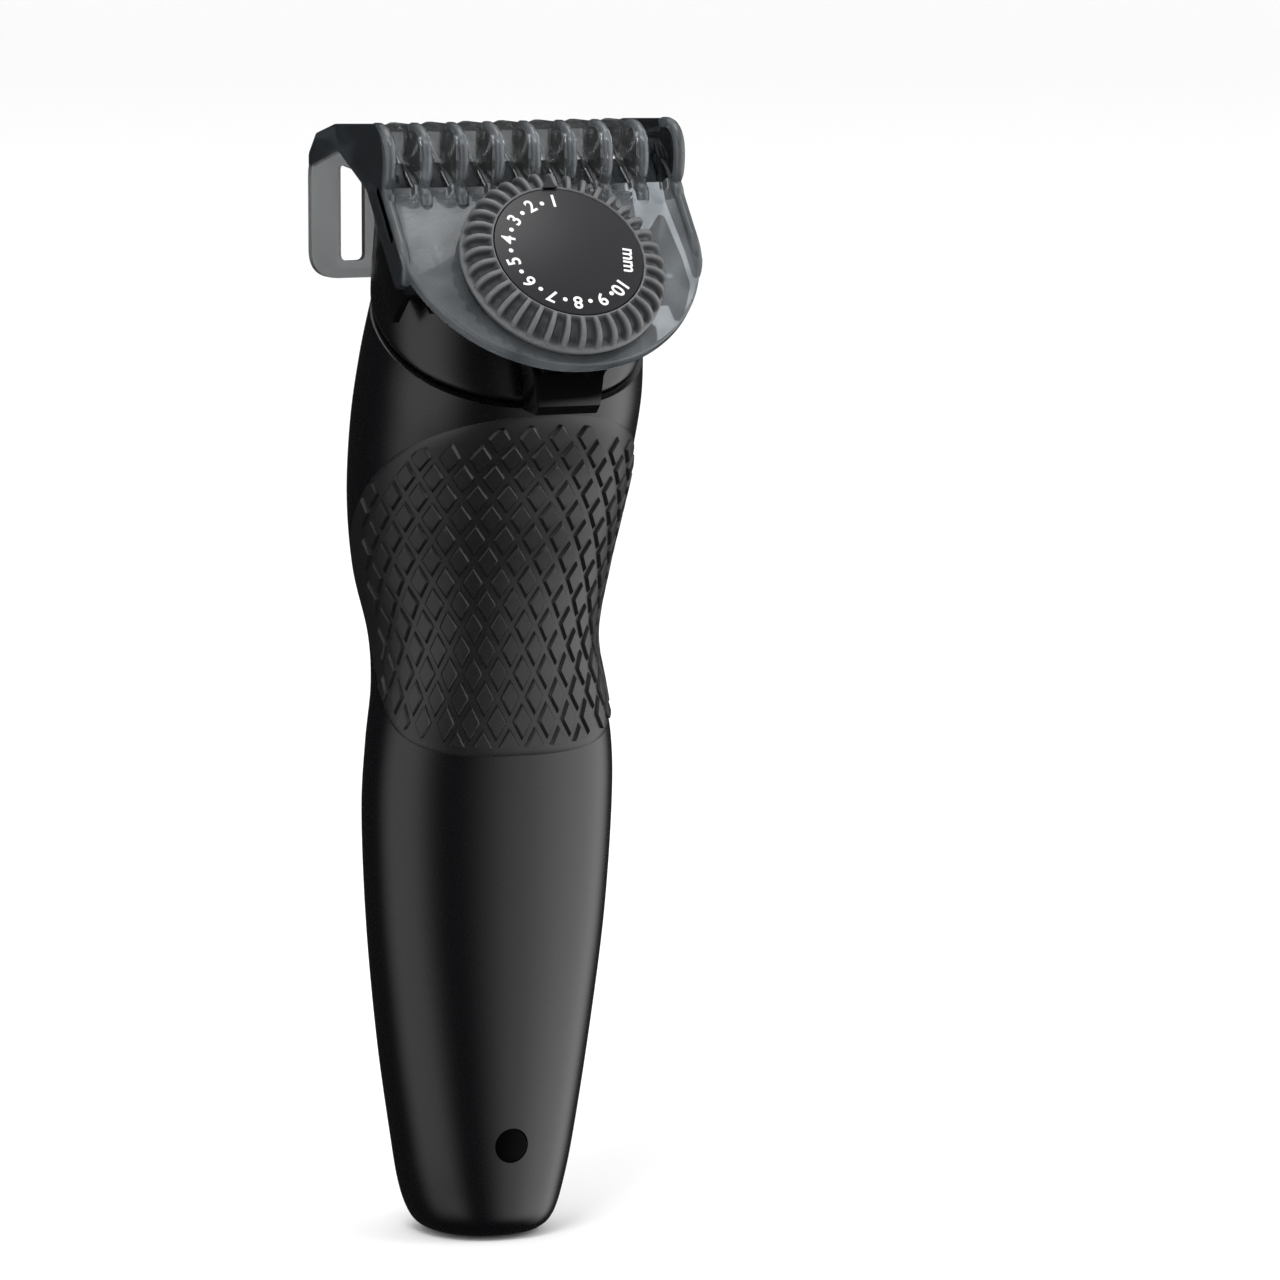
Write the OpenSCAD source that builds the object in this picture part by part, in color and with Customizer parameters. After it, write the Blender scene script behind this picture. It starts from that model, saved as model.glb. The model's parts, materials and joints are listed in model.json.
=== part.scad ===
// Cordless beard and hair clipper with a detachable cutting head, a sliding guide comb
// and a thumb wheel that sets the cutting length.
// Millimetres. +Z up along the handle, -Y towards the front, +X across.
// The origin is the centre of the flat foot.

/* [Handle] */
// Wall thickness of the handle shells
shell_wall = 1.8; // [1.4:0.1:2.2]
// Angle from the front at which the front and rear shells meet
parting_angle = 112; // [100:1:120]
// How far the soft grip stands proud of the front shell
grip_proud = 0.45; // [0.3:0.05:0.8]
// Radius of the charge light's window
lens_r = 2.45; // [2:0.05:3]
// Height of the charge light above the foot
lens_z = 14; // [12:1:16]
// Radius of the power button
button_r = 5; // [4:0.1:6]
// Height of the power button above the foot
button_z = 56; // [52:1:62]
// Travel of the power button
button_travel = 0.8; // [0.5:0.1:1]

/* [Comb] */
// Half of the comb's width
comb_half = 22.3; // [22:0.1:23]
// Thickness of the comb's front plate
plate_t = 2; // [1.6:0.1:2.1]
// Number of tines, with the two side ones
tine_count = 9; // [9:1:9]
// Thickness of a tine
tine_t = 1.7; // [1.5:0.1:1.8]
// Travel of the comb from the shortest to the longest setting
comb_travel = 9; // [6:1:9]

/* [Dial] */
// Radius of the flat numbered disc
disc_r = 10.6; // [10:0.1:10.8]
// Outer radius of the ribbed wheel
ring_r = 14.6; // [14:0.1:15]
// Number of ribs on the wheel
rib_count = 36; // [30:1:40]
// Number of detent teeth on the cam
click_count = 29; // [25:1:33]
// Clicks between two numbers
clicks_per_step = 2; // [2:1:2]

/* [Drive] */
// Radius of the motor's can
motor_r = 10; // [9:0.5:10]
// Throw of the eccentric pin
throw = 1; // [0.6:0.1:1]
// Pitch of the blade teeth
tooth_pitch = 1.4; // [1.2:0.1:1.6]
// Distance from the dial's centre to the blade tips, along the slope
blade_tip = 27; // [26:0.5:27]

/* [Hidden] */
// Handle outline: height of the section's centre, slope, half width, centre, front and rear
HANDLE = [
    [0, 0, 5.5, 0, 6.5, 5.5],
    [0.8, 0, 8.4, 0, 9.4, 8.0],
    [2.8, 0, 10.2, 0, 11.2, 9.4],
    [7, 0, 11.7, 0, 11.7, 10],
    [14, 0, 13.1, -0.6, 12.3, 10.1],
    [28, 0, 15.3, -1.2, 13.3, 10.1],
    [45, 0, 17.3, -2.3, 14.5, 9.3],
    [61, 0, 18.2, -3.1, 15.5, 8.8],
    [71, 0, 17.8, -3.8, 16.1, 8.6],
    [79, 0, 16.5, -2.8, 16.2, 9.5],
    [86, 0, 16.0, -0.2, 16.4, 11.6],
    [95, 0, 17.8, 0.9, 18.1, 12.9],
    [105, 0.08, 19.3, -1, 20.9, 12],
    [115, 0.3, 20.1, -4.8, 22.6, 9.2],
    [123, 0.5, 20.0, -8.5, 24.6, 6.3],
    [129.2, 0.65, 19.3, -11.1, 26, 3.9]
];
// Head outline, in the same form
HEAD = [
    [129.6, 0.65, 18.6, -11.1, 25.3, 3.3],
    [131, 0.63, 19.2, -11.1, 25.9, 3.8],
    [136, 0.45, 19.0, -11, 25.9, 3.8],
    [143, 0.2, 18.5, -10.8, 25.5, 3.7],
    [150, 0, 18.2, -10.5, 25, 3.4],
    [156, 0, 18.0, -10.5, 25, 3.0]
];
HANDLE_TOP = len(HANDLE) - 1;
HEAD_TOP = len(HEAD) - 1;
squareness = 2 / 2.2;

// The sloping front of the head: place of the dial's centre, and the slope's turn about X
dial_at = [0, -33.6, 141.5];
slope_turn = 50;
// Heights above the slope's reference plane, which is the top of the numbered disc
plate_top = -5;
plate_bottom = plate_top - plate_t;
cam_top = -7.3;
cam_bottom = -9.1;
bridge_top = -9.4;
bridge_bottom = -10.2;
spine_top = -10.4;
spine_bottom = -11.5;
blade_top = -12.2;
blade_bottom = -13;
cutter_top = -13.1;
cutter_bottom = -13.9;
face_top = -14.4;
insert_top = -14.9;
insert_bottom = -16.6;

// Dial and comb
step_angle = clicks_per_step * 360 / click_count;
dial_range = 9 * step_angle;
groove_r0 = 4.8;
pin_r = 1.2;
groove_half = 1.35;
hub_r = 8.6;
post_r = 2.4;
plate_centre = 6.8;
plate_end = 16;
side_t = 1.3;
tine_pitch = 2 * (comb_half - tine_t / 2) / (tine_count - 1);
arm_in = 19.6;
arm_out = 20.7;
arm_low = -16.8;
arm_from = 1;
arm_to = 12;
beam_w = 3.6;
tab_half = 5.8;
bridge_half = 18;
bridge_w = 4.8;
foot_x = 16.9;
foot_w = 2.2;

// Soft grip: height of its middle, reach up and down from there, and half angle round
grip_z = 92.5;
grip_up = 26;
grip_down = 22.5;
grip_angle = 97;
grip_end = 95.5;

// Blades
blade_half = 17.2;
blade_centre = 14;
blade_root = blade_tip - 5;
cutter_root = blade_tip - 6.3;
cutter_tip = blade_tip - 1;
cutter_low = 9.5;
screw_x = 9.2;
screw_y = 4;

// Drive train
motor_y = -4;
motor_z0 = 89;
motor_z1 = 117;
pin_z1 = 131;
fork_gap = 3.5;
fork_out = 5;

// Handle contents
board_y = 3.6;
board_t = 1;
board_z0 = 6;
board_z1 = 80;
cell_r = 7;
cell_y = -4.6;
cell_z0 = 32;
cell_z1 = 81;
boss_z = [27, 84.5];
boss_front = [-12, -15];
screw_seat = [9.2, 10.2];
boss_r = 2.6;
screw_r = 1.1;
screw_head_r = 2.1;
socket_z = 11;
socket_half = [4.5, 1.6];

// Smooth curve through four values
function blend(a, b, c, d, u) =
    0.5 * (2 * b + (c - a) * u + (2 * a - 5 * b + 4 * c - d) * u * u
        + (3 * b - a - 3 * c + d) * u * u * u);

// The section at a place along an outline, counted in stations
function section(outline, t) =
    let (
        last = len(outline) - 1,
        i = max(0, min(floor(t), last - 1)),
        a = outline[max(i - 1, 0)],
        b = outline[i],
        c = outline[i + 1],
        d = outline[min(i + 2, last)]
    )
    [for (k = [0:5]) blend(a[k], b[k], c[k], d[k], t - i)];

function bow(v) = sign(v) * pow(abs(v), squareness);

// A point of a section at an angle from the front, moved inwards by inset
function skin(s, angle, inset) =
    let (
        depth = cos(angle) > 0 ? s[4] + s[3] - inset : s[5] - s[3] - inset,
        y = s[3] - depth * bow(cos(angle))
    )
    [(s[2] - inset) * bow(sin(angle)), y, s[0] + s[1] * (y - s[3])];

function ring(s, steps, inset) =
    [for (i = [0:steps - 1]) skin(s, 360 * i / steps, inset)];

function flipped(list) = [for (i = [len(list) - 1:-1:0]) list[i]];

// A closed solid through a row of rings with the same number of points
module loft(rings) {
    count = len(rings[0]);
    last = len(rings) - 1;
    polyhedron(
        points = [for (r = rings) each r],
        faces = concat(
            [[for (i = [0:count - 1]) i]],
            [[for (i = [count - 1:-1:0]) last * count + i]],
            [for (j = [0:last - 1], i = [0:count - 1]) each
                let (
                    a = j * count + i,
                    b = j * count + (i + 1) % count,
                    c = a + count,
                    d = b + count
                )
                [[a, c, b], [b, c, d]]]
        )
    );
}

// Two facing grids of points, closed round their edges
module thick_sheet(outer, inner) {
    rows = len(outer);
    cols = len(outer[0]);
    back = rows * cols;
    rim = concat(
        [for (j = [0:cols - 1]) j],
        [for (i = [1:rows - 1]) i * cols + cols - 1],
        [for (j = [cols - 2:-1:0]) (rows - 1) * cols + j],
        [for (i = [rows - 2:-1:1]) i * cols]
    );
    polyhedron(
        points = concat([for (r = outer) each r], [for (r = inner) each r]),
        faces = concat(
            [for (i = [0:rows - 2], j = [0:cols - 2]) each
                let (a = i * cols + j, b = a + 1, c = a + cols, d = c + 1)
                [[a, b, c], [b, d, c], [back + a, back + c, back + b],
                    [back + b, back + c, back + d]]],
            [for (k = [0:len(rim) - 1]) each
                let (a = rim[k], b = rim[(k + 1) % len(rim)])
                [[a, back + a, b], [b, back + a, back + b]]]
        )
    );
}

// Part of a hollow outline, between two angles
module shell_part(outline, from, to, steps, rows, wall) {
    sections = [for (j = [0:rows]) section(outline, (len(outline) - 1) * j / rows)];
    angles = [for (i = [0:steps]) from + (to - from) * i / steps];
    thick_sheet(
        [for (angle = angles) [for (s = sections) skin(s, angle, 0)]],
        [for (angle = angles) [for (s = sections) skin(s, angle, wall)]]
    );
}

module solid_part(outline, steps, t0, t1, rows, inset) {
    loft([for (j = [0:rows])
        ring(section(outline, t0 + (t1 - t0) * j / rows), steps, inset)]);
}

// Moves a shape drawn on the slope to its place: x stays, y runs up the slope
module on_slope() {
    translate(dial_at) rotate([slope_turn, 0, 0]) children();
}

// A flat piece on the slope between two heights above its reference plane
module slope_plate(low, high) {
    on_slope() translate([0, 0, low]) linear_extrude(high - low) children();
}

module box(low, high) {
    translate(low) cube(high - low);
}

// A plate that stands across X, drawn by its outline in Y and Z
module side_plate(x, thickness, outline) {
    translate([x + thickness, 0, 0]) rotate([90, 0, -90]) mirror([1, 0, 0])
        linear_extrude(thickness) polygon(outline);
}

module rod_y(x, z, y0, y1, r) {
    translate([x, y1, z]) rotate([90, 0, 0]) cylinder(h = y1 - y0, r = r, $fn = 48);
}

// ---- Handle ----

module front_shell() {
    color([0.07, 0.07, 0.075]) {
        difference() {
            shell_part(HANDLE, -parting_angle, parting_angle, 36, 38, shell_wall);
            rod_y(0, lens_z, -20, -5, lens_r + 0.05);
        }
        difference() {
            for (i = [0, 1]) rod_y(0, boss_z[i], boss_front[i], 3, boss_r);
            for (i = [0, 1]) rod_y(0, boss_z[i], -9, 4, screw_r);
        }
    }
}

module rear_shell() {
    color([0.07, 0.07, 0.075]) difference() {
        shell_part(HANDLE, parting_angle, 360 - parting_angle, 24, 38, shell_wall);
        rod_y(0, button_z, 0, 20, button_r + 0.3);
        for (i = [0, 1]) {
            rod_y(0, boss_z[i], 0, 20, screw_r + 0.2);
            rod_y(0, boss_z[i], screw_seat[i], 20, screw_head_r + 0.3);
        }
        box([-socket_half[0] - 0.2, 5, socket_z - socket_half[1] - 0.2],
            [socket_half[0] + 0.2, 20, socket_z + socket_half[1] + 0.2]);
    }
}

// The place along the handle at which the skin is at height z, at an angle from the front
function place_at(z, angle, low = 0, high = HANDLE_TOP, tries = 14) =
    let (middle = (low + high) / 2)
    tries == 0 ? middle
    : skin(section(HANDLE, middle), angle, 0)[2] < z
        ? place_at(z, angle, middle, high, tries - 1)
        : place_at(z, angle, low, middle, tries - 1);

// Distance of the grip's edge from its middle line at an angle, as a share of the longest
function grip_edge(angle, power) = pow(1 - pow(abs(angle) / grip_angle, power), 1 / power);

module grip_panel() {
    cols = 32;
    rows = 22;
    places = [for (i = [0:rows])
        let (angle = -grip_end + 2 * grip_end * i / rows)
        [for (j = [0:cols])
            let (
                low = grip_z - grip_down * grip_edge(angle, 2.6),
                high = grip_z + grip_up * grip_edge(angle, 2)
            )
            [angle, place_at(low + (high - low) * j / cols, angle)]]];
    color([0.1, 0.1, 0.105]) thick_sheet(
        [for (row = places) [for (p = row) skin(section(HANDLE, p[1]), p[0], -grip_proud)]],
        [for (row = places) [for (p = row) skin(section(HANDLE, p[1]), p[0], 0.2)]]
    );
}

module foot_pad() {
    color([0.05, 0.05, 0.05])
        loft([for (h = [0, 1.6])
            [for (p = ring(HANDLE[0], 48, shell_wall)) [p[0], p[1], h]]]);
}

module neck_ring() {
    top = HANDLE[HANDLE_TOP];
    spigot = 4;
    color([0.12, 0.12, 0.12]) difference() {
        union() {
            loft([for (h = [-3, -0.8])
                [for (p = ring(top, 48, shell_wall + 0.1)) p + [0, 0, h]]]);
            loft([for (h = [-0.8, spigot]) [for (p = ring(top, 48, 2.9)) p + [0, 0, h]]]);
        }
        box([-9, -13, 110], [9, 2, 150]);
        box([-13, -22, 121], [13, -12.9, 150]);
    }
}

module light_pipe() {
    color([0.01, 0.01, 0.01]) {
        rod_y(0, lens_z, -12.1, -9.5, lens_r);
        rod_y(0, lens_z, -9.5, 2.2, 1.2);
    }
}

module power_button() {
    color([0.12, 0.12, 0.125]) {
        rod_y(0, button_z, 7.6, 10.4, button_r);
        rod_y(0, button_z, 5.9 + button_travel, 7.6, 1.5);
    }
}

module button_seal() {
    color([0.2, 0.2, 0.2]) difference() {
        rod_y(0, button_z, 5.4, 6.4, button_r + 1.2);
        rod_y(0, button_z, 5, 7, 3.6);
    }
}

module power_switch() {
    color([0.5, 0.5, 0.52]) {
        box([-3, board_y + board_t, button_z - 3], [3, 5.4, button_z + 3]);
        rod_y(0, button_z, 5.4, 5.8, 1.6);
    }
}

module circuit_board() {
    color([0.05, 0.3, 0.12]) difference() {
        box([-8.5, board_y, board_z0], [8.5, board_y + board_t, board_z1]);
        rod_y(0, boss_z[0], 0, 10, boss_r + 0.4);
    }
}

module charge_led() {
    color("white") box([-0.8, board_y - 0.8, lens_z - 0.8], [0.8, board_y, lens_z + 0.8]);
}

module charging_socket() {
    color([0.7, 0.7, 0.72]) difference() {
        box([-socket_half[0], board_y + board_t, socket_z - socket_half[1]],
            [socket_half[0], 9.2, socket_z + socket_half[1]]);
        box([-socket_half[0] + 0.3, 5.2, socket_z - socket_half[1] + 0.3],
            [socket_half[0] - 0.3, 10, socket_z + socket_half[1] - 0.3]);
    }
}

module control_chip() {
    color([0.1, 0.1, 0.1]) box([-3, board_y + board_t, 36], [3, board_y + board_t + 1, 42]);
}

module battery_cell() {
    color([0.1, 0.35, 0.6]) {
        translate([0, cell_y, cell_z0]) cylinder(h = cell_z1 - cell_z0 - 0.8, r = cell_r, $fn = 64);
        translate([0, cell_y, cell_z1 - 0.8]) cylinder(h = 0.8, r = 2.6, $fn = 48);
    }
}

module battery_tabs() {
    color([0.8, 0.8, 0.78]) {
        box([-2.5, cell_y - 2, cell_z1], [2.5, board_y, cell_z1 + 0.2]);
        box([-2.5, cell_y - 2, cell_z0 - 0.2], [2.5, board_y, cell_z0]);
    }
}

module battery_cradle() {
    color([0.15, 0.15, 0.16]) for (z = [40, 68]) difference() {
        box([-9.6, cell_y - 3, z], [9.6, board_y, z + 4]);
        translate([0, cell_y, z - 1]) cylinder(h = 6, r = cell_r + 0.05, $fn = 64);
    }
}

module motor_can() {
    color([0.75, 0.75, 0.77]) translate([0, motor_y, 0]) difference() {
        union() {
            translate([0, 0, motor_z0 + 3])
                cylinder(h = motor_z1 - motor_z0 - 3, r = motor_r, $fn = 72);
            translate([0, 0, motor_z1]) cylinder(h = 1.5, r = 3, $fn = 48);
        }
        translate([0, 0, motor_z0 - 1]) cylinder(h = motor_z1 - motor_z0 + 4, r = 1.05, $fn = 32);
    }
}

module motor_end_cap() {
    color([0.85, 0.85, 0.8]) translate([0, motor_y, motor_z0]) difference() {
        cylinder(h = 3, r = motor_r, $fn = 72);
        translate([0, 0, -1]) cylinder(h = 5, r = 1.05, $fn = 32);
    }
}

module motor_bracket() {
    color([0.18, 0.18, 0.19]) difference() {
        union() {
            translate([0, motor_y, motor_z1]) cylinder(h = 2, r = motor_r + 1.6, $fn = 72);
            translate([0, motor_y, motor_z0 + 12])
                cylinder(h = motor_z1 - motor_z0 - 12, r = motor_r + 1.3, $fn = 72);
        }
        translate([0, motor_y, motor_z0]) cylinder(h = motor_z1 - motor_z0, r = motor_r, $fn = 72);
        translate([0, motor_y, motor_z0]) cylinder(h = 60, r = 3.2, $fn = 48);
        for (x = [-6, 6]) translate([x, motor_y, motor_z0]) cylinder(h = 60, r = 1.1, $fn = 32);
        box([-14, 6.4, 80], [14, 20, 140]);
    }
}

module motor_screws() {
    color("silver") for (x = [-6, 6]) translate([x, motor_y, 0]) {
        translate([0, 0, motor_z1]) cylinder(h = 2, r = 1.1, $fn = 32);
        translate([0, 0, motor_z1 + 2]) cylinder(h = 1, r = 2, $fn = 32);
    }
}

module motor_leads() {
    color("firebrick") for (x = [-5, 5])
        box([x - 0.5, board_y - 0.9, board_z1 - 6], [x + 0.5, board_y - 0.05, motor_z0]);
}

module motor_shaft() {
    color("silver") translate([0, motor_y, motor_z0 - 1]) cylinder(h = 34, r = 1, $fn = 32);
}

module eccentric_cam() {
    color([0.85, 0.85, 0.85]) translate([0, motor_y, 0]) {
        difference() {
            translate([0, 0, motor_z1 + 3.5]) cylinder(h = 4, r = 3.4, $fn = 48);
            translate([0, 0, motor_z1]) cylinder(h = 5, r = 1, $fn = 32);
        }
        translate([0, -throw, motor_z1 + 7.5]) cylinder(h = pin_z1 - motor_z1 - 7.5, r = 1, $fn = 32);
    }
}

module housing_screws() {
    color("silver") for (i = [0, 1]) {
        rod_y(0, boss_z[i], -6, screw_seat[i], screw_r - 0.02);
        rod_y(0, boss_z[i], screw_seat[i], screw_seat[i] + 0.8, screw_head_r);
    }
}

// ---- Cutting head ----

module head_housing() {
    color([0.07, 0.07, 0.075]) difference() {
        solid_part(HEAD, 56, 0, HEAD_TOP, 16, 0);
        solid_part(HEAD, 56, -0.02, 3.6, 12, 1.8);
        slope_plate(face_top, face_top + 60) square([80, 90], center = true);
        box([-30, -40, 149.6], [30, 20, 170]);
    }
}

// A plate's outline on the slope: a half round below, straight sides above
module u_outline(half, centre, end) {
    intersection() {
        translate([0, centre]) circle(r = half, $fn = 96);
        translate([-half, centre - half]) square([2 * half, half]);
    }
    translate([-half, centre]) square([2 * half, end - centre]);
}

module head_insert() {
    color([0.14, 0.14, 0.14]) {
        slope_plate(insert_bottom, insert_top) difference() {
            u_outline(17, 13.6, 19);
            translate([-8, 6.6]) square([16, 9.4]);
            for (side = [-1, 1]) translate([side * screw_x, screw_y]) circle(r = 0.9, $fn = 32);
        }
        for (side = [-1, 1]) slope_plate(insert_top, blade_bottom)
            translate([side * screw_x, screw_y]) difference() {
                circle(r = 2.4, $fn = 48);
                circle(r = 0.9, $fn = 32);
            }
    }
}

// Straight row of pointed teeth along X, from the root line to the tip line
module teeth(count, pitch, root, tip, width) {
    for (i = [0:count - 1]) translate([(i - (count - 1) / 2) * pitch, 0])
        polygon([[-width / 2, root], [width / 2, root], [width / 4, tip], [-width / 4, tip]]);
}

module fixed_blade() {
    color([0.8, 0.81, 0.83]) slope_plate(blade_bottom, blade_top) difference() {
        union() {
            u_outline(blade_half, blade_centre, blade_root);
            teeth(24, tooth_pitch, blade_root - 0.01, blade_tip, 0.9);
        }
        for (side = [-1, 1]) translate([side * screw_x, screw_y]) circle(r = 1.3, $fn = 32);
    }
}

module blade_screws() {
    color("silver") for (side = [-1, 1]) on_slope() translate([side * screw_x, screw_y, 0]) {
        difference() {
            translate([0, 0, blade_top]) cylinder(h = 0.5, r = 2.3, $fn = 48);
            translate([0, 0, blade_top + 0.15]) linear_extrude(1) for (a = [0, 60, 120])
                rotate(a) square([2.2, 0.5], center = true);
        }
        translate([0, 0, insert_bottom]) cylinder(h = blade_top - insert_bottom, r = 0.88, $fn = 32);
    }
}

module blade_spring() {
    color([0.75, 0.76, 0.78]) for (side = [-1, 1])
        slope_plate(insert_bottom - 0.5, insert_bottom - 0.1)
            translate([side * 12 - 0.6, 3]) square([1.2, 14]);
}

module moving_blade() {
    color([0.7, 0.71, 0.73]) slope_plate(cutter_bottom, cutter_top) {
        translate([-14.5, cutter_low]) square([29, cutter_root - cutter_low]);
        teeth(20, tooth_pitch, cutter_root - 0.01, cutter_tip, 0.9);
    }
}

module drive_fork() {
    color([0.9, 0.9, 0.88]) {
        slope_plate(cutter_bottom - 0.8, cutter_bottom)
            translate([-12, 9.7]) square([24, 5]);
        slope_plate(-26.5, cutter_bottom - 0.8)
            translate([-fork_out, 9.7]) square([2 * fork_out, 3.2]);
        for (side = [-1, 1]) {
            low = side > 0 ? fork_gap : -fork_out;
            high = side > 0 ? fork_out : -fork_gap;
            box([low, -8.8, 125], [high, -1.4, 135.6]);
            side_plate(low, fork_out - fork_gap, [[-8.8, 130], [-1.4, 130], [-4, 137.5], [-9, 138.4]]);
        }
    }
}

// ---- Guide comb ----

// A point on the slope as Y and Z of the whole clipper: up the slope, height above it
function slope_yz(up, height) = [
    dial_at[1] + up * cos(slope_turn) - height * sin(slope_turn),
    dial_at[2] + up * sin(slope_turn) + height * cos(slope_turn)
];

module comb_carriage() {
    color([0.03, 0.03, 0.03]) {
        slope_plate(spine_bottom, spine_top) {
            translate([-tab_half, -13]) square([2 * tab_half, 13 + arm_from + 1]);
            translate([-arm_out, arm_from]) square([2 * arm_out, beam_w]);
        }
        for (x = [-arm_out, arm_in]) on_slope()
            box([x, arm_from, arm_low], [x + arm_out - arm_in, arm_to, spine_top]);
        side_plate(-tab_half + 0.2, 2 * tab_half - 0.4, [
            slope_yz(-13, spine_top), slope_yz(-8, spine_bottom - 0.01), [-29, 124.6],
            [-28, 119.6], [-32.6, 119.2], [-33.8, 120.4]
        ]);
    }
}

module follower_pin() {
    color("silver") on_slope() translate([0, -groove_r0, spine_top])
        cylinder(h = cam_bottom + 1.1 - spine_top, r = pin_r, $fn = 48);
}

// Side view of a tine: a rounded front, a level top and a hooked end over the blade
TINE = [
    slope_yz(plate_end - 2.5, plate_bottom), slope_yz(plate_end - 2.5, plate_top),
    [-20.9, 150.8], [-21.4, 152.6], [-21.3, 154.6], [-20.7, 156.4], [-19.6, 157.8], [-18, 158.6],
    [-9, 158.6], [-4.5, 157.6], [-2.6, 156.4], [-3, 155.9], [-8.4, 155.6], [-12, 153.4]
];

// Side view of the comb's side wall: a rail down the slope and a web back to the rear frame
SIDE = [
    slope_yz(3, plate_top), slope_yz(plate_end - 2.5, plate_top),
    [-20.9, 150.8], [-21.4, 152.6], [-21.3, 154.6], [-20.7, 156.4], [-19.6, 157.8], [-18, 158.6],
    [-2, 157.9], [5, 156.4], [8, 153.4], [8, 151.4], [-3.4, 154.2], [-14.6, 149.2],
    slope_yz(14, -9.6), slope_yz(1.5, -9.6), slope_yz(1.5, -8.4)
];

module guide_comb() {
    frame_front = 6.5;
    frame_rear = 8;
    frame_low = 135.8;
    color([0.42, 0.46, 0.48, 0.5]) {
        slope_plate(plate_bottom, plate_top) difference() {
            u_outline(comb_half, plate_centre, plate_end);
            circle(r = hub_r + 0.3, $fn = 72);
        }
        for (i = [1:tine_count - 2])
            side_plate(-comb_half + i * tine_pitch, tine_t, TINE);
        for (x = [-comb_half, comb_half - side_t]) side_plate(x, side_t, SIDE);
        for (x = [-comb_half, arm_in + 0.1]) on_slope()
            box([x, 4, -9.6], [x + comb_half - arm_in - 0.1, 14, -8.6]);
        translate([0, frame_rear, 0]) rotate([90, 0, 0])
            linear_extrude(frame_rear - frame_front) difference() {
                union() {
                    translate([-comb_half + 3, frame_low]) square([2 * comb_half - 6, 18.6]);
                    translate([-comb_half, frame_low + 3]) square([2 * comb_half, 15.4]);
                    for (x = [-comb_half + 3, comb_half - 3])
                        translate([x, frame_low + 3]) circle(r = 3, $fn = 48);
                }
                for (i = [0:5]) translate([(i - 2.5) * 6.44, frame_low + 8.8])
                    square([3.4, 12.4], center = true);
            }
    }
}

module dial_bridge() {
    color([0.05, 0.05, 0.05]) {
        slope_plate(bridge_bottom, bridge_top)
            translate([-bridge_half, -bridge_w / 2]) square([2 * bridge_half, bridge_w]);
        for (x = [-foot_x, foot_x]) slope_plate(bridge_top, plate_bottom) difference() {
            translate([x - foot_w / 2, -bridge_w / 2]) square([foot_w, bridge_w]);
            translate([x, 0]) circle(r = 0.5, $fn = 32);
        }
    }
}

module bridge_screws() {
    color("silver") for (x = [-foot_x, foot_x]) on_slope()
        translate([x, 0, bridge_top]) cylinder(h = plate_bottom - bridge_top, r = 0.48, $fn = 32);
}

module dial_disc() {
    color([0.06, 0.06, 0.065]) on_slope() {
        translate([0, 0, -0.9]) cylinder(h = 0.9, r = disc_r, $fn = 96);
        translate([0, 0, bridge_top]) cylinder(h = -0.9 - bridge_top, r = post_r, $fn = 64);
    }
}

module detent_spring() {
    spring_x = -foot_x + foot_w / 2;
    color("silver") slope_plate(-8.8, -7.6) {
        translate([spring_x, -1.4]) square([0.35, 8]);
        translate([spring_x + 0.45, 5.2]) circle(r = 0.5, $fn = 32);
    }
}

// Side view of the wheel: a bore round the disc, a rounded shoulder and an undercut base
RING = [
    [hub_r + 0.02, plate_top + 0.3], [hub_r + 0.02, -1.3], [disc_r + 0.2, -1.3],
    [disc_r + 0.2, 0.1], [disc_r + 0.9, 0.2], [disc_r + 2.1, -0.4], [ring_r - 0.7, -1.5],
    [ring_r, -3], [ring_r, -3.8], [ring_r - 0.8, plate_top + 0.3]
];

module dial_ring() {
    color([0.38, 0.39, 0.4]) on_slope() difference() {
        rotate_extrude($fn = 96) polygon(RING);
        for (i = [0:rib_count - 1]) rotate(90 + (i + 0.5) * 360 / rib_count)
            translate([ring_r + 0.5, 0, -6]) cylinder(h = 12, r = 0.85, $fn = 16);
    }
}

// The cam's rim: one sloping and one steep side to each tooth
function saw(i, r) = r * [cos(i * 360 / click_count), sin(i * 360 / click_count)];

// Centre line of the spiral groove and the direction across it, for a turn of the dial
function groove(turn) =
    let (
        r = groove_r0 + comb_travel * turn / dial_range,
        slope = comb_travel / dial_range * 180 / PI,
        a = -90 - turn,
        along = [slope * cos(a) + r * sin(a), slope * sin(a) - r * cos(a)]
    )
    [r * [cos(a), sin(a)], [along[1], -along[0]] / norm(along)];

module dial_cam() {
    turns = [for (i = [0:45]) dial_range * i / 45];
    color([0.02, 0.02, 0.02]) on_slope() difference() {
        union() {
            translate([0, 0, cam_bottom]) linear_extrude(cam_top - cam_bottom)
                polygon([for (i = [0:click_count - 1]) each [saw(i, 13.6), saw(i + 0.25, 14.6)]]);
            translate([0, 0, cam_top]) cylinder(h = -1.3 - cam_top, r = hub_r, $fn = 72);
        }
        translate([0, 0, cam_bottom - 1]) cylinder(h = 12, r = post_r + 0.1, $fn = 64);
        translate([0, 0, cam_bottom - 1]) linear_extrude(2.3) {
            polygon(concat(
                [for (turn = turns) let (g = groove(turn)) g[0] + groove_half * g[1]],
                flipped([for (turn = turns) let (g = groove(turn)) g[0] - groove_half * g[1]])
            ));
            translate(groove(0)[0]) circle(r = groove_half, $fn = 48);
            translate(groove(dial_range)[0]) circle(r = groove_half, $fn = 48);
        }
    }
}

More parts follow.
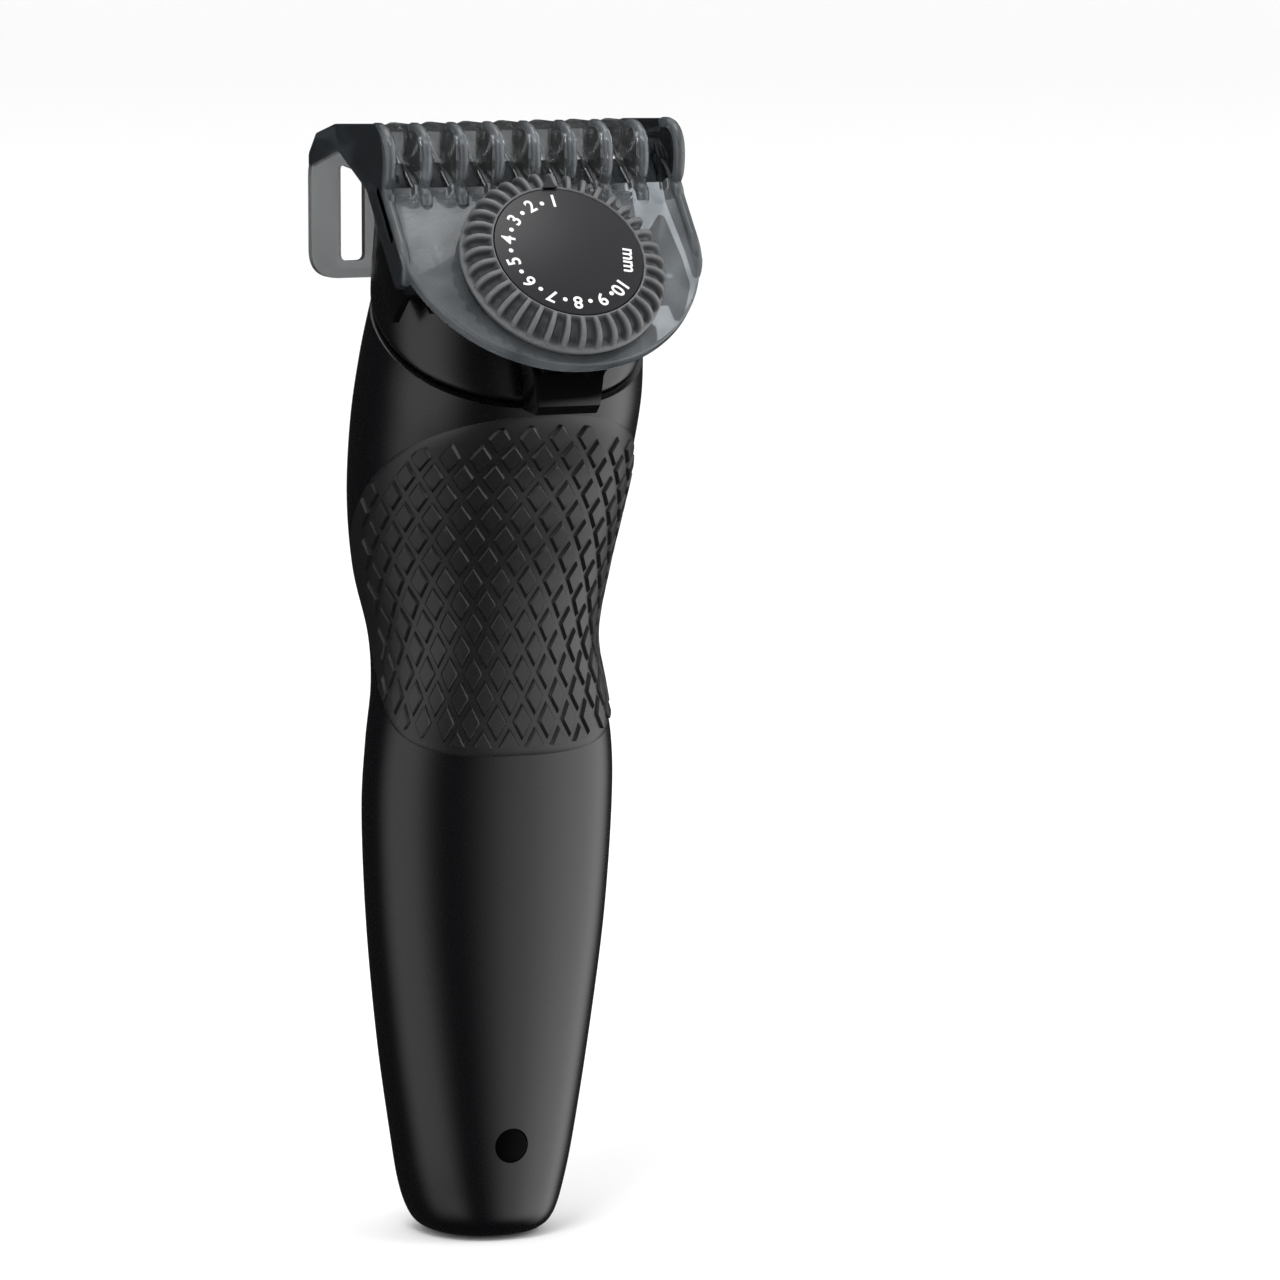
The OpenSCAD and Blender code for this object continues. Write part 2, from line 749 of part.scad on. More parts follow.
front_shell();
rear_shell();
grip_panel();
foot_pad();
neck_ring();
light_pipe();
power_button();
button_seal();
power_switch();
circuit_board();
charge_led();
charging_socket();
control_chip();
battery_cell();
battery_tabs();
battery_cradle();
motor_can();
motor_end_cap();
motor_bracket();
motor_screws();
motor_leads();
motor_shaft();
eccentric_cam();
housing_screws();
head_housing();
head_insert();
fixed_blade();
blade_screws();
blade_spring();
moving_blade();
drive_fork();
comb_carriage();
follower_pin();
guide_comb();
dial_bridge();
bridge_screws();
dial_disc();
detent_spring();
dial_ring();
dial_cam();
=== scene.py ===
"""Looks of a cordless hair clipper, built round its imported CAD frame."""

import json
import math

import bmesh
import bpy
from mathutils import Matrix, Vector


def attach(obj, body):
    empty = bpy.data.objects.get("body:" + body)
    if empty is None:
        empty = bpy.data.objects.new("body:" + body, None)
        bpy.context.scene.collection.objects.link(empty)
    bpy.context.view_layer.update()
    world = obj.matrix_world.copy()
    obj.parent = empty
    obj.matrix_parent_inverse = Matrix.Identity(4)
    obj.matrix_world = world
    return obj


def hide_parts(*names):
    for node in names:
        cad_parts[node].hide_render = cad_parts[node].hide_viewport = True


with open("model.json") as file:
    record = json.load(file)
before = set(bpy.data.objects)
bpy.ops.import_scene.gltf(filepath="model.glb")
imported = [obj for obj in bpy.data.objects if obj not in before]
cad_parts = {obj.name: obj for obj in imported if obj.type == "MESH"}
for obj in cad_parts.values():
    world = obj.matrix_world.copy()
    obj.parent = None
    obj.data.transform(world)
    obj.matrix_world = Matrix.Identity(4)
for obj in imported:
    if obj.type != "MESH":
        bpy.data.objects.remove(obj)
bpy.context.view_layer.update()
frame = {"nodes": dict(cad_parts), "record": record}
MM = 0.001

# ---- Measures shared with the CAD, in millimetres ----

# Outline of the handle: height, slope, half width, centre, front and rear of each section
HANDLE = [
    (0, 0, 5.5, 0, 6.5, 5.5), (0.8, 0, 8.4, 0, 9.4, 8), (2.8, 0, 10.2, 0, 11.2, 9.4),
    (7, 0, 11.7, 0, 11.7, 10), (14, 0, 13.1, -0.6, 12.3, 10.1), (28, 0, 15.3, -1.2, 13.3, 10.1),
    (45, 0, 17.3, -2.3, 14.5, 9.3), (61, 0, 18.2, -3.1, 15.5, 8.8), (71, 0, 17.8, -3.8, 16.1, 8.6),
    (79, 0, 16.5, -2.8, 16.2, 9.5), (86, 0, 16, -0.2, 16.4, 11.6), (95, 0, 17.8, 0.9, 18.1, 12.9),
    (105, 0.08, 19.3, -1, 20.9, 12), (115, 0.3, 20.1, -4.8, 22.6, 9.2),
    (123, 0.5, 20, -8.5, 24.6, 6.3), (129.2, 0.65, 19.3, -11.1, 26, 3.9),
]
# Outline of the cutting head, in the same form
HEAD = [
    (129.6, 0.65, 18.6, -11.1, 25.3, 3.3), (131, 0.63, 19.2, -11.1, 25.9, 3.8),
    (136, 0.45, 19, -11, 25.9, 3.8), (143, 0.2, 18.5, -10.8, 25.5, 3.7),
    (150, 0, 18.2, -10.5, 25, 3.4), (156, 0, 18, -10.5, 25, 3),
]
SQUARENESS = 2 / 2.2
SHELL_WALL = 1.8
PARTING_ANGLE = 112

# The sloping front: the dial's centre, and the turn that lays a drawing on the slope
DIAL_AT = Vector((0, -33.6, 141.5))
ON_SLOPE = Matrix.Translation(DIAL_AT) @ Matrix.Rotation(math.radians(50), 4, "X")

PLATE_TOP = -5
DISC_R = 10.6
RIBS = 36
STEP_ANGLE = 2 * 360 / 29
LENS_R = 2.45
LENS_Z = 14
BUTTON_Z = 56
BUTTON_HOLE_R = 5.3
INLET_Z = 11
INLET_HALF_WIDTH, INLET_HALF_HEIGHT = 4.7, 1.8
# Height of each housing screw, and how far back its seat is
SCREWS = [(27, 9.2), (84.5, 10.2)]
SCREW_HOLE_R, SCREW_SEAT_R = 1.3, 2.4
HEAD_FACE = -14.4
HEAD_TOP_Z = 149.6


def blend(a, b, c, d, u):
    """Smooth curve through four values."""
    return 0.5 * (2 * b + (c - a) * u + (2 * a - 5 * b + 4 * c - d) * u * u
                  + (3 * b - a - 3 * c + d) * u ** 3)


def section(outline, t):
    """The section at a place along an outline, counted in stations."""
    last = len(outline) - 1
    i = max(0, min(math.floor(t), last - 1))
    four = (outline[max(i - 1, 0)], outline[i], outline[i + 1], outline[min(i + 2, last)])
    return [blend(*values, t - i) for values in zip(*four)]


def bow(v):
    """Squares a circle a little: a sine or cosine pushed away from zero."""
    return math.copysign(abs(v) ** SQUARENESS, v)


def skin(s, angle, inset):
    """A point of a section at an angle from the front, moved inwards by inset."""
    a = math.radians(angle)
    depth = (s[4] if math.cos(a) > 0 else s[5] - 2 * s[3]) + s[3] - inset
    y = s[3] - depth * bow(math.cos(a))
    return Vector(((s[2] - inset) * bow(math.sin(a)), y, s[0] + s[1] * (y - s[3])))


def place_at(outline, z, angle):
    """The place along an outline at which its skin is at height z, at an angle."""
    low, high = 0, len(outline) - 1
    for _ in range(16):
        middle = (low + high) / 2
        if skin(section(outline, middle), angle, 0).z < z:
            low = middle
        else:
            high = middle
    return (low + high) / 2


def spread(start, end, steps):
    """Evenly spaced values, both ends included."""
    return [start + (end - start) * i / steps for i in range(steps + 1)]


# ---- Materials ----

LOOKS = {}


def material(name, colour, roughness, **sockets):
    made = bpy.data.materials.new("look_" + name)
    LOOKS[name] = made
    made.use_nodes = True
    shader = made.node_tree.nodes["Principled BSDF"]
    shader.inputs["Base Color"].default_value = (*colour, 1)
    shader.inputs["Roughness"].default_value = roughness
    for socket, value in sockets.items():
        shader.inputs[socket.replace("_", " ")].default_value = value
    return made


def grain(made, size_mm, depth_mm, rough=None, detail=3, stretch=(1, 1, 1), tint=None):
    """Fine relief, with a matching spread of roughness and colour, from one noise."""
    tree = made.node_tree
    shader = tree.nodes["Principled BSDF"]
    place = tree.nodes.new("ShaderNodeTexCoord")
    scaled = tree.nodes.new("ShaderNodeMapping")
    scaled.inputs["Scale"].default_value = stretch
    noise = tree.nodes.new("ShaderNodeTexNoise")
    noise.inputs["Scale"].default_value = 1 / (size_mm * MM)
    noise.inputs["Detail"].default_value = detail
    tree.links.new(place.outputs["Object"], scaled.inputs["Vector"])
    tree.links.new(scaled.outputs["Vector"], noise.inputs["Vector"])
    if depth_mm:
        bump = tree.nodes.new("ShaderNodeBump")
        bump.inputs["Strength"].default_value = 1
        bump.inputs["Distance"].default_value = depth_mm * MM
        tree.links.new(noise.outputs["Fac"], bump.inputs["Height"])
        tree.links.new(bump.outputs["Normal"], shader.inputs["Normal"])
    if rough:
        span = tree.nodes.new("ShaderNodeMapRange")
        span.inputs["From Min"].default_value = 0.3
        span.inputs["From Max"].default_value = 0.7
        span.inputs["To Min"].default_value = rough[0]
        span.inputs["To Max"].default_value = rough[1]
        tree.links.new(noise.outputs["Fac"], span.inputs["Value"])
        tree.links.new(span.outputs["Result"], shader.inputs["Roughness"])
    if tint:
        ramp = tree.nodes.new("ShaderNodeValToRGB")
        ramp.color_ramp.elements[0].position = 0.35
        ramp.color_ramp.elements[0].color = (*tint[0], 1)
        ramp.color_ramp.elements[1].position = 0.65
        ramp.color_ramp.elements[1].color = (*tint[1], 1)
        tree.links.new(noise.outputs["Fac"], ramp.inputs["Fac"])
        tree.links.new(ramp.outputs["Color"], shader.inputs["Base Color"])
    return made


def painted_valley_shade(made, dark):
    """Painted shade: mixes a dark colour into a look where the mesh's stored share of light is low."""
    tree = made.node_tree
    rib_light_share = tree.nodes.new("ShaderNodeAttribute")
    rib_light_share.attribute_name = "rib_light_share"
    mix = tree.nodes.new("ShaderNodeMix")
    mix.data_type = "RGBA"
    mix.inputs["A"].default_value = (*dark, 1)
    colour = tree.nodes["Principled BSDF"].inputs["Base Color"]
    tree.links.new(colour.links[0].from_socket, mix.inputs["B"])
    tree.links.new(rib_light_share.outputs["Fac"], mix.inputs["Factor"])
    tree.links.new(mix.outputs["Result"], colour)


# A look that is named after a slot is also found by it, for CAD nodes shown as they are
SHELL = grain(material("shell_black", (0.0022, 0.0022, 0.003), 0.26),
              0.25, 0.0012, rough=(0.24, 0.28))
GRIP = grain(material("grip_rubber", (0.006, 0.006, 0.007), 0.36),
             0.18, 0.002, rough=(0.32, 0.4), tint=((0.005, 0.005, 0.006), (0.008, 0.008, 0.009)))
TRIM = grain(material("trim_black", (0.002, 0.002, 0.0025), 0.14, Specular_IOR_Level=0.35),
             0.8, 0.001, rough=(0.12, 0.18))
grain(material("inner_black", (0.03, 0.03, 0.03), 0.55), 0.3, 0.01, rough=(0.5, 0.62))
SMOKY = grain(material("smoky_clear", (0.4, 0.44, 0.47), 0.05, Transmission_Weight=0.84, IOR=1.47),
              7, 0.006, rough=(0.03, 0.08), detail=1.5, tint=((0.22, 0.245, 0.265), (0.4, 0.435, 0.46)))
SMOKY_DEEP = grain(material("smoky_deep", (0.2, 0.208, 0.21), 0.06, Transmission_Weight=0.85, IOR=1.47),
                   6, 0.02, rough=(0.04, 0.1), detail=1)
SMOKY_DARK = grain(material("smoky_dark", (0.035, 0.04, 0.045), 0.06, Transmission_Weight=0.7, IOR=1.47),
                   6, 0.01, rough=(0.04, 0.1), detail=1)
WHEEL = grain(material("wheel_grey", (0.1, 0.102, 0.106), 0.45),
              0.22, 0.004, rough=(0.4, 0.52), tint=((0.09, 0.092, 0.095), (0.12, 0.122, 0.126)))
# Painted shade: the wheel's colour is darkened in the valleys between its ribs, where shade falls.
painted_valley_shade(WHEEL, (0.03, 0.031, 0.033))
DISC = grain(material("disc_black", (0.005, 0.005, 0.007), 0.34, Specular_IOR_Level=0.38),
             0.15, 0.001, rough=(0.3, 0.38))
LENS = grain(material("lens_black", (0.0006, 0.0006, 0.0007), 0.1, Specular_IOR_Level=0.03),
             0.8, 0.0005, rough=(0.08, 0.12))
INK = grain(material("white_ink", (0.8, 0.8, 0.8), 0.5), 0.2, 0.001, rough=(0.45, 0.6))
grain(material("steel", (0.33, 0.335, 0.345), 0.25, Metallic=1),
      0.6, 0.002, rough=(0.18, 0.34), stretch=(1, 12, 12))
SPRING = grain(material("spring_steel", (0.66, 0.67, 0.69), 0.2, Metallic=1),
               1, 0.001, rough=(0.14, 0.24))
grain(material("board_green", (0.02, 0.12, 0.045), 0.4), 2, 0.005, rough=(0.35, 0.5),
      tint=((0.018, 0.1, 0.04), (0.025, 0.14, 0.055)))
grain(material("cell_blue", (0.02, 0.09, 0.28), 0.3), 4, 0.01, rough=(0.22, 0.35))
grain(material("acetal_white", (0.75, 0.75, 0.72), 0.4), 0.5, 0.004, rough=(0.35, 0.48))
grain(material("led_white", (0.8, 0.8, 0.74), 0.2), 0.5, 0.001, rough=(0.15, 0.25))
grain(material("lead_red", (0.42, 0.02, 0.02), 0.45), 0.5, 0.004, rough=(0.4, 0.5))
SLOT_OF = {part["node"]: part["material_slot"] for part in frame["record"]["subparts"]}
BODY_OF = {node: body for body, nodes in frame["record"]["behaviour"]["bodies"].items()
           for node in nodes}


# ---- Making pieces ----

def face_outwards(mesh):
    """Turns every face of a closed mesh to face out."""
    work = bmesh.new()
    work.from_mesh(mesh)
    bmesh.ops.recalc_face_normals(work, faces=work.faces)
    work.to_mesh(mesh)
    work.free()


def finish_piece(piece, node, look, replaces=True, sharp=32):
    """Shades a piece and ties it to its CAD node."""
    face_outwards(piece.data)
    piece.data.shade_smooth()
    piece.data.set_sharp_from_angle(angle=math.radians(sharp))
    piece.data.materials.clear()
    piece.data.materials.append(look)
    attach(piece, BODY_OF[node])
    if replaces:
        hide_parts(node)
    return piece


def raw_piece(name, points, faces):
    """An object from points in millimetres."""
    mesh = bpy.data.meshes.new(name)
    mesh.from_pydata([p * MM for p in points], [], faces)
    mesh.validate()
    face_outwards(mesh)
    piece = bpy.data.objects.new(name, mesh)
    bpy.context.collection.objects.link(piece)
    return piece


def grid_faces(rows, cols, wrap_rows=False, wrap_cols=False, start=0):
    faces = []
    for i in range(rows if wrap_rows else rows - 1):
        for j in range(cols if wrap_cols else cols - 1):
            a, b = i * cols + j, i * cols + (j + 1) % cols
            c, d = (i + 1) % rows * cols + j, (i + 1) % rows * cols + (j + 1) % cols
            faces.append((start + a, start + b, start + d, start + c))
    return faces


def thick_sheet(name, outer, inner):
    """Two facing grids of points, closed round their edges."""
    rows, cols = len(outer), len(outer[0])
    back = rows * cols
    rim = ([j for j in range(cols)] + [i * cols + cols - 1 for i in range(1, rows)]
           + [(rows - 1) * cols + j for j in range(cols - 2, -1, -1)]
           + [i * cols for i in range(rows - 2, 0, -1)])
    faces = grid_faces(rows, cols) + [f[::-1] for f in grid_faces(rows, cols, start=back)]
    faces += [(rim[k], back + rim[k], back + rim[(k + 1) % len(rim)], rim[(k + 1) % len(rim)])
              for k in range(len(rim))]
    return raw_piece(name, [p for row in outer + inner for p in row], faces)


def modify(piece, kind, **settings):
    """Adds a modifier and applies it."""
    step = piece.modifiers.new("step", kind)
    for setting, value in settings.items():
        setattr(step, setting, value)
    graph = bpy.context.evaluated_depsgraph_get()
    mesh = bpy.data.meshes.new_from_object(piece.evaluated_get(graph))
    piece.modifiers.clear()
    old, piece.data = piece.data, mesh
    bpy.data.meshes.remove(old)
    return piece


def cut(piece, tool):
    """Takes a tool away from a piece, and the tool with it."""
    modify(piece, "BOOLEAN", object=tool, operation="DIFFERENCE", solver="EXACT")
    bpy.data.objects.remove(tool)
    return piece


def softened(node, look, width_mm, segments=2):
    """A copy of a CAD node with its edges rounded."""
    piece = frame["nodes"][node].copy()
    piece.data = frame["nodes"][node].data.copy()
    piece.name = node + "_soft"
    for key in list(piece.keys()):
        del piece[key]
    piece.parent = None
    bpy.context.collection.objects.link(piece)
    mesh = bmesh.new()
    mesh.from_mesh(piece.data)
    bmesh.ops.remove_doubles(mesh, verts=mesh.verts, dist=0.002 * MM)
    bmesh.ops.dissolve_limit(mesh, angle_limit=math.radians(1), verts=mesh.verts, edges=mesh.edges)
    mesh.to_mesh(piece.data)
    mesh.free()
    modify(piece, "BEVEL", width=width_mm * MM, segments=segments, limit_method="ANGLE",
           angle_limit=math.radians(28), use_clamp_overlap=True, harden_normals=False)
    return finish_piece(piece, node, look, sharp=35)


# ---- Handle ----

def shell(name, angles):
    """A handle shell with a fine groove along its edges."""
    last = len(HANDLE) - 1
    places = spread(0, 2, 24) + spread(2, last - 0.06, 170)[1:] + [last - 0.03, last]
    edge_groove = 0.22
    outer, inner = [], []
    for i, angle in enumerate(angles):
        at_edge = i in (0, len(angles) - 1)
        outer_row, inner_row = [], []
        for place in places:
            s = section(HANDLE, place)
            inset = edge_groove if at_edge or place == last else 0
            outer_row.append(skin(s, angle, inset))
            inner_row.append(skin(s, angle, SHELL_WALL))
        outer.append(outer_row)
        inner.append(inner_row)
    return thick_sheet(name, outer, inner)


def drum(radius, low, high, steps=64):
    """A closed round bar along Z, made of points."""
    ring = [(radius * math.cos(math.tau * i / steps), radius * math.sin(math.tau * i / steps))
            for i in range(steps)]
    points = [Vector((x, y, z)) for z in (low, high) for x, y in ring]
    faces = grid_faces(2, steps, wrap_cols=True)
    faces += [tuple(range(steps)), tuple(range(steps, 2 * steps))]
    return points, faces


def bar_y(name, x, z, y0, y1, radius):
    """A round bar along Y, from y0 to y1."""
    points, faces = drum(radius, y0, y1)
    return raw_piece(name, [Vector((x + p.x, p.z, z + p.y)) for p in points], faces)


def stadium(half_x, half_z, z, y0, y1, steps=16):
    """Points and faces of a bar along Y with round ends left and right."""
    ring = []
    for side in (1, -1):
        for a in spread(-90, 90, steps):
            turn = math.radians(a if side > 0 else a + 180)
            ring.append((side * (half_x - half_z) + half_z * math.cos(turn), half_z * math.sin(turn)))
    count = len(ring)
    points = [Vector((x, y, z + up)) for y in (y0, y1) for x, up in ring]
    faces = grid_faces(2, count, wrap_cols=True) + [tuple(range(count)), tuple(range(count, 2 * count))]
    return points, faces


front = shell("handle_front",
              [-PARTING_ANGLE, -PARTING_ANGLE + 0.7]
              + spread(-PARTING_ANGLE + 1.6, PARTING_ANGLE - 1.6, 150)
              + [PARTING_ANGLE - 0.7, PARTING_ANGLE])
cut(front, bar_y("tool", 0, LENS_Z, -20, -5, LENS_R + 0.05))
finish_piece(front, "front_shell", SHELL)
rear_from, rear_to = PARTING_ANGLE, 360 - PARTING_ANGLE
rear = shell("handle_rear",
             [rear_from, rear_from + 0.7] + spread(rear_from + 1.6, rear_to - 1.6, 96)
             + [rear_to - 0.7, rear_to])
cut(rear, bar_y("tool", 0, BUTTON_Z, 4, 20, BUTTON_HOLE_R))
for z, seat in SCREWS:
    cut(rear, bar_y("tool", 0, z, -2, 20, SCREW_HOLE_R))
    cut(rear, bar_y("tool", 0, z, seat, 20, SCREW_SEAT_R))
cut(rear, raw_piece("tool", *stadium(INLET_HALF_WIDTH, INLET_HALF_HEIGHT, INLET_Z, 4, 20)))
finish_piece(rear, "rear_shell", SHELL)

# Soft grip: height of its middle, reach up and down from there, and half angle round
GRIP_Z, GRIP_UP, GRIP_DOWN, GRIP_ANGLE, GRIP_END = 92.5, 26, 22.5, 97, 95.5
GRIP_PROUD = 0.25
PAD_TOP = 0.68


def grip_limits(angle):
    """Lowest and highest point of the grip at an angle from the front."""
    share = min(abs(angle) / GRIP_ANGLE, 1)
    return (GRIP_Z - GRIP_DOWN * (1 - share ** 2.6) ** (1 / 2.6),
            GRIP_Z + GRIP_UP * (1 - share ** 2) ** (1 / 2))


def grip_sheet():
    rounding = (0.02, 0.14, 0.22)
    edge = (0, 0.006, 0.018)
    along = list(edge) + spread(0.04, 0.96, 70) + [1 - e for e in reversed(edge)]
    ends = [GRIP_END - 2.2 * k for k in (0, 0.15, 0.45)]
    angles = [-e for e in ends] + spread(-GRIP_END + 2, GRIP_END - 2, 110) + ends[::-1]

    def proud(index, count):
        step = min(index, count - 1 - index)
        return rounding[step] if step < len(rounding) else GRIP_PROUD

    outer, inner = [], []
    for i, angle in enumerate(angles):
        low, high = grip_limits(angle)
        sections = [section(HANDLE, place_at(HANDLE, low + (high - low) * share, angle))
                    for share in along]
        lift = [min(proud(i, len(angles)), proud(j, len(along))) for j in range(len(along))]
        outer.append([skin(s, angle, -up) for s, up in zip(sections, lift)])
        inner.append([skin(s, angle, 0.2) for s in sections])
    return thick_sheet("grip_cover", outer, inner)


def pad_row_height(row):
    """Height of the pattern's lines: the rows lengthen downwards."""
    return 114.9 - 2.8 * (row - 1) - 0.026 * (row - 1) ** 2


def pad_angle(column):
    """Angle from the front of the pattern's columns, which lie evenly round the handle."""
    even = 12.4 * column
    fold = 180 - abs(even) if abs(even) > 90 else abs(even)
    straight = math.degrees(math.asin(min(1, math.sin(math.radians(fold)) ** (1 / SQUARENESS))))
    return math.copysign(180 - straight if abs(even) > 90 else straight, even)


def grip_pads():
    """Raised diamonds in staggered rows, each a low block with bevelled sides."""
    steps = 5
    rings = ((0.83, 0.12), (0.79, 0.27), (0.65, PAD_TOP - 0.06), (0.6, PAD_TOP), (0.3, PAD_TOP))
    corners = ((0, -1), (0.5, 0), (0, 1), (-0.5, 0))
    points, faces = [], []
    for row in range(-1, 17):
        for half_column in range(-17, 18):
            if (half_column + row) % 2 == 0:
                continue
            centre_u, centre_v = half_column / 2, row + 0.78
            angle, height = pad_angle(centre_u), pad_row_height(centre_v)
            low, high = grip_limits(angle)
            if abs(angle) > GRIP_END - 12 or not low + 0.9 < height < high - 2.4:
                continue
            start = len(points)
            for scale, up in rings:
                for k in range(4):
                    (u0, v0), (u1, v1) = corners[k], corners[(k + 1) % 4]
                    for step in range(steps):
                        share = (step + 0.12) / (steps - 0.76)
                        u = centre_u + scale * (u0 + (u1 - u0) * share)
                        v = centre_v + scale * (v0 + (v1 - v0) * share)
                        a = pad_angle(u)
                        bottom, top = grip_limits(a)
                        z = max(bottom + 1.3, min(top - 1.2, pad_row_height(v)))
                        points.append(skin(section(HANDLE, place_at(HANDLE, z, a)), a, -up))
            count = 4 * steps
            for j in range(len(rings) - 1):
                for i in range(count):
                    p, q = start + j * count + i, start + j * count + (i + 1) % count
                    faces.append((p, q, q + count, p + count))
            faces.append(tuple(start + (len(rings) - 1) * count + i for i in range(count)))
            faces.append(tuple(start + i for i in reversed(range(count))))
    return raw_piece("grip_diamonds", points, faces)


finish_piece(grip_sheet(), "grip_panel", GRIP)
finish_piece(grip_pads(), "grip_panel", GRIP, sharp=24)


# ---- Cutting head ----

def loft(name, outline, t0, t1, rows, steps, inset):
    """A closed solid along an outline, between two places."""
    rings = [[skin(section(outline, t0 + (t1 - t0) * j / rows), 360 * i / steps, inset)
              for i in range(steps)] for j in range(rows + 1)]
    faces = grid_faces(rows + 1, steps, wrap_cols=True)
    faces += [tuple(range(steps)), tuple(rows * steps + i for i in range(steps))]
    return raw_piece(name, [p for ring in rings for p in ring], faces)


def block(name, low, high, place=None):
    """A box between two corners, for cutting."""
    corners = [Vector((x, y, z)) for z in (low[2], high[2]) for y in (low[1], high[1])
               for x in (low[0], high[0])]
    if place:
        corners = [place @ c for c in corners]
    faces = [(0, 1, 3, 2), (4, 6, 7, 5), (0, 4, 5, 1), (2, 3, 7, 6), (0, 2, 6, 4), (1, 5, 7, 3)]
    return raw_piece(name, corners, faces)


def narrow_tab(piece):
    """Narrows the carriage's release tab, and tapers its lower end."""
    tab_top, taper_from, taper_over = 127.5, 124, 4
    for vertex in piece.data.vertices:
        spot = piece.matrix_world @ vertex.co
        if spot.z < tab_top * MM:
            spot.x *= 0.9 - 0.1 * max(0, min(1, (taper_from - spot.z / MM) / taper_over))
            vertex.co = piece.matrix_world.inverted() @ spot


head = loft("head_shell", HEAD, 0, len(HEAD) - 1, 70, 160, 0)
cut(head, loft("tool", HEAD, -0.02, 3.6, 30, 80, SHELL_WALL))
cut(head, block("tool", (-40, -45, HEAD_FACE), (40, 45, HEAD_FACE + 60), ON_SLOPE))
cut(head, block("tool", (-30, -40, HEAD_TOP_Z), (30, 20, 170)))
modify(head, "BEVEL", width=0.25 * MM, segments=2, limit_method="ANGLE", angle_limit=math.radians(40))
finish_piece(head, "head_housing", SHELL)
narrow_tab(softened("comb_carriage", TRIM, 0.45, segments=3))
softened("light_pipe", LENS, 0.12)
softened("power_button", TRIM, 0.5, segments=4)
screws = softened("housing_screws", SPRING, 0.12)
# Cross recesses
for z, seat in SCREWS:
    for half_x, half_z in ((1.25, 0.28), (0.28, 1.25)):
        cut(screws, block("tool", (-half_x, seat + 0.3, z - half_z), (half_x, seat + 2, z + half_z)))
finish_piece(screws, "housing_screws", SPRING)
softened("dial_cam", TRIM, 0.12)


# ---- Guide comb ----

PLATE_LOW = -6.8
COMB_HALF = 22.3
PLATE_MIDDLE = 6.8
PLATE_END = 16
HUB_R = 8.9
# From the comb's side in to the middle of its outer wall
WALL_INSET = 0.85
FIN_COUNT = 7
FIN_PITCH = (2 * COMB_HALF - 2 * WALL_INSET) / (FIN_COUNT + 1)
# Side views, Y and Z: a fin, its rounded front edge, and an outer wall
FIN_BODY = [(-20.6, 150.4), (-20.7, 155.4), (-19.6, 157.2), (-18, 158.3), (-9, 158.3), (-4.5, 157.4),
            (-2.8, 156.4), (-3, 155.9), (-8.4, 155.6), (-12, 153.4)]
FIN_EDGE = [(-21.5, 151.2), (-21.9, 153.2), (-21.75, 155.2), (-21, 156.6), (-19.8, 157.5), (-18.2, 157.9),
            (-16.5, 157.9)]
WALL = [(-20.9, 150.8), (-21.4, 152.6), (-21.3, 154.6), (-20.7, 156.4), (-19.6, 157.8), (-18, 158.6),
        (-2, 157.9), (5, 156.4), (8, 153.4), (8, 151.4), (-3.4, 154.2), (-14.6, 149.2)]


def on_slope(x, up, height):
    return ON_SLOPE @ Vector((x, up, height))


def upright(x, z, y):
    return Vector((x, y, z))


def sideways(y, z, x):
    return Vector((x, y, z))


def slope_yz(up, height):
    """Y and Z of a place on the slope, for side outlines."""
    at = on_slope(0, up, height)
    return at.y, at.z


def prism(name, outline, low, high, place):
    """A closed solid between two copies of an outline; place gives each point from (a, b, depth)."""
    count = len(outline)
    points = [place(a, b, depth) for depth in (low, high) for a, b in outline]
    faces = grid_faces(2, count, wrap_cols=True) + [tuple(range(count)), tuple(range(count, 2 * count))]
    return raw_piece(name, points, faces)


def rounded_edges(piece, width, angle=40):
    """Rounds the edges where faces turn by more than an angle."""
    return modify(piece, "BEVEL", width=width * MM, segments=3, limit_method="ANGLE",
                  angle_limit=math.radians(angle))


def rounded_outline(corners, radii, steps=6):
    """An outline with each corner replaced by a short curve."""
    result = []
    count = len(corners)
    for i, radius in enumerate(radii):
        corner = Vector(corners[i])
        before, after = Vector(corners[i - 1]) - corner, Vector(corners[(i + 1) % count]) - corner
        start, end = corner + before.normalized() * radius, corner + after.normalized() * radius
        for u in spread(0, 1, steps) if radius else [0]:
            result.append(tuple(start * (1 - u) ** 2 + corner * 2 * u * (1 - u) + end * u * u))
    return result


def tube(name, path, radii, steps=14):
    """A round bar along a smooth path in a plane across X."""
    rings, rows = [], []
    for k in range(len(path) - 1):
        four = [path[max(k - 1, 0)], path[k], path[k + 1], path[min(k + 2, len(path) - 1)]]
        widths = (radii[k], radii[k + 1])
        for u in spread(0, 1, 5)[:None if k == len(path) - 2 else -1]:
            at = Vector([blend(*values, u) for values in zip(*four)])
            rings.append((at, widths[0] + (widths[1] - widths[0]) * u))
    for k, (at, radius) in enumerate(rings):
        along = (rings[min(k + 1, len(rings) - 1)][0] - rings[max(k - 1, 0)][0]).normalized()
        across = Vector((0, along.z, -along.y))
        rows.append([at + radius * (math.cos(math.tau * i / steps) * Vector((1, 0, 0))
                                    + math.sin(math.tau * i / steps) * across) for i in range(steps)])
    faces = grid_faces(len(rows), steps, wrap_cols=True)
    faces += [tuple(range(steps)), tuple((len(rows) - 1) * steps + i for i in range(steps))]
    return raw_piece(name, [p for row in rows for p in row], faces)


def fin_middle(number):
    """Across the comb to a fin, counted from the left wall."""
    return -COMB_HALF + WALL_INSET + number * FIN_PITCH


